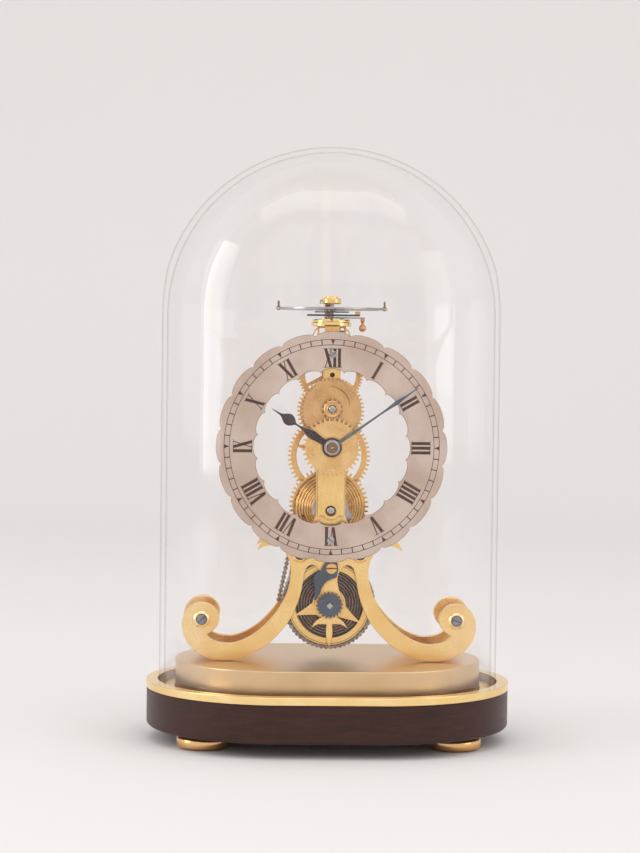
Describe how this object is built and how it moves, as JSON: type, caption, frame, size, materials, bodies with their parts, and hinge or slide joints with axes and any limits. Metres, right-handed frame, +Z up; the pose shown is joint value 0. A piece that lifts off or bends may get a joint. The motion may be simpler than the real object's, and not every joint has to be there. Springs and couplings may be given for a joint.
{
  "type": "skeleton clock",
  "caption": "Skeleton clock: pierced scroll frame with chain fusee movement, ring dial and balance on top, on an oval wooden base under a glass dome.",
  "frame": {"origin": "centre of the base, at the height of the feet's undersides", "axes": "+Z up, the dial faces -Y, +X to the viewer's right"},
  "size_m": [0.159, 0.118, 0.2587],
  "materials": {
    "gilt_base": "polished brass, bright yellow",
    "mahogany": "dark red-brown mahogany, satin polish",
    "satin_brass": "fine satin brass, pale champagne",
    "gilt_plate": "polished gilt brass with a fine grain",
    "blued_steel": "heat-blued steel",
    "silvered_dial": "silvered brass, brushed, engraved and filled with dark wax",
    "polished_steel": "polished steel",
    "wheel_brass": "polished wheel brass",
    "spring_steel": "dark tempered spring steel",
    "chain_steel": "oiled chain steel",
    "copper": "polished copper alloy",
    "dome_glass": "clear blown glass"
  },
  "bodies": {
    "frame": {"foot_front_left": "gilt_base", "foot_front_right": "gilt_base", "foot_rear_left": "gilt_base", "foot_rear_right": "gilt_base", "plinth": "mahogany", "plinth_rim": "gilt_base", "brass_platform": "satin_brass", "front_plate": "gilt_plate", "back_plate": "gilt_plate", "scroll_pillar_left": "gilt_plate", "scroll_pillar_right": "gilt_plate", "waist_pillar_left": "gilt_plate", "waist_pillar_right": "gilt_plate", "top_pillar_left": "gilt_plate", "top_pillar_right": "gilt_plate", "scroll_screw_left": "blued_steel", "scroll_screw_right": "blued_steel", "dial_ring": "silvered_dial", "dial_screw_top": "polished_steel", "dial_screw_bottom": "polished_steel", "front_bar": "gilt_plate", "minute_wheel_stud": "polished_steel", "click_screw": "wheel_brass", "chain_run": "chain_steel", "escapement_platform": "wheel_brass", "escapement_bridge": "wheel_brass", "platform_bracket": "wheel_brass", "platform_stay": "gilt_plate", "balance_cock": "wheel_brass", "hairspring": "spring_steel"},
    "barrel": {"barrel_drum": "wheel_brass", "barrel_cover": "wheel_brass", "chain_on_barrel": "chain_steel", "mainspring": "spring_steel"},
    "setup_arbor": {"barrel_arbor": "polished_steel", "ratchet_wheel": "blued_steel"},
    "click_lever": {"click": "blued_steel"},
    "fusee": {"fusee_cone": "wheel_brass", "great_wheel": "wheel_brass", "fusee_arbor": "polished_steel"},
    "second_wheel_set": {"second_arbor": "polished_steel", "second_wheel": "wheel_brass"},
    "third_wheel_set": {"third_arbor": "polished_steel", "third_wheel": "wheel_brass"},
    "contrate_wheel_set": {"contrate_arbor": "polished_steel", "contrate_wheel": "wheel_brass"},
    "escape": {"escape_wheel": "polished_steel"},
    "lever": {"pallet_lever": "polished_steel"},
    "balance": {"balance_wheel": "polished_steel", "balance_staff": "polished_steel"},
    "regulator": {"regulator_index": "blued_steel", "regulator_handle": "copper"},
    "minute_hand_set": {"hands_arbor": "polished_steel", "cannon_pinion": "polished_steel", "minute_hand": "blued_steel", "hand_collet": "polished_steel"},
    "minute_wheel_set": {"minute_wheel": "wheel_brass"},
    "hour_hand_set": {"hour_wheel": "wheel_brass", "hour_hand": "blued_steel"},
    "dome": {"glass_dome": "dome_glass"}
  },
  "joints": [
    {"name": "second_wheel_turn", "type": "hinge", "parent": "frame", "child": "second_wheel_set", "pos_m": [0, 0, 0.1234], "axis": [0, 1, 0], "continuous": true},
    {"name": "minute_hand_turn", "type": "hinge", "parent": "frame", "child": "minute_hand_set", "pos_m": [0, 0, 0.1286], "axis": [0, 1, 0], "continuous": true},
    {"name": "minute_wheel_turn", "type": "hinge", "parent": "frame", "child": "minute_wheel_set", "pos_m": [0, 0, 0.145], "axis": [0, 1, 0], "continuous": true},
    {"name": "hour_hand_turn", "type": "hinge", "parent": "frame", "child": "hour_hand_set", "pos_m": [0, 0, 0.1286], "axis": [0, 1, 0], "continuous": true},
    {"name": "fusee_turn", "type": "hinge", "parent": "frame", "child": "fusee", "pos_m": [0, 0, 0.1012], "axis": [0, 1, 0], "continuous": true},
    {"name": "barrel_turn", "type": "hinge", "parent": "frame", "child": "barrel", "pos_m": [0, 0, 0.06], "axis": [0, 1, 0], "continuous": true},
    {"name": "third_wheel_turn", "type": "hinge", "parent": "frame", "child": "third_wheel_set", "pos_m": [0, 0, 0.1436], "axis": [0, 1, 0], "continuous": true},
    {"name": "contrate_wheel_turn", "type": "hinge", "parent": "frame", "child": "contrate_wheel_set", "pos_m": [0, 0, 0.1596], "axis": [0, 1, 0], "continuous": true},
    {"name": "escape_turn", "type": "hinge", "parent": "frame", "child": "escape", "pos_m": [0, 0.006, 0.175], "axis": [0, 0, 1], "continuous": true},
    {"name": "pallet_rock", "type": "hinge", "parent": "frame", "child": "lever", "pos_m": [0.0038, 0.0034, 0.1785], "axis": [0, 0, 1], "range_deg": [-5, 5]},
    {"name": "balance_swing", "type": "hinge", "parent": "frame", "child": "balance", "pos_m": [0, 0, 0.1883], "axis": [0, 0, 1], "range_deg": [-140, 140], "stiffness_Nm_per_rad": 0.000002},
    {"name": "regulator_turn", "type": "hinge", "parent": "frame", "child": "regulator", "pos_m": [0, 0, 0.1854], "axis": [0, 0, 1], "range_deg": [-25, 25]},
    {"name": "setup_ratchet_turn", "type": "hinge", "parent": "frame", "child": "setup_arbor", "pos_m": [0, 0, 0.06], "axis": [0, 1, 0], "range_deg": [0, 360]},
    {"name": "click_lift", "type": "hinge", "parent": "frame", "child": "click_lever", "pos_m": [0.0006, -0.0166, 0.0761], "axis": [0, 1, 0], "range_deg": [0, 15]},
    {"name": "dome_lift", "type": "slide", "parent": "frame", "child": "dome", "axis": [0, 0, 1], "range_m": [0, 0.27]}
  ],
  "couplings": [
    {"joint": "minute_hand_turn", "follows": "second_wheel_turn", "ratio": -1},
    {"joint": "minute_wheel_turn", "follows": "second_wheel_turn", "ratio": 0.25},
    {"joint": "hour_hand_turn", "follows": "second_wheel_turn", "ratio": -0.083333},
    {"joint": "fusee_turn", "follows": "second_wheel_turn", "ratio": -0.30769},
    {"joint": "barrel_turn", "follows": "second_wheel_turn", "ratio": -0.185},
    {"joint": "third_wheel_turn", "follows": "second_wheel_turn", "ratio": -7},
    {"joint": "contrate_wheel_turn", "follows": "second_wheel_turn", "ratio": 56},
    {"joint": "escape_turn", "follows": "second_wheel_turn", "ratio": 480}
  ]
}
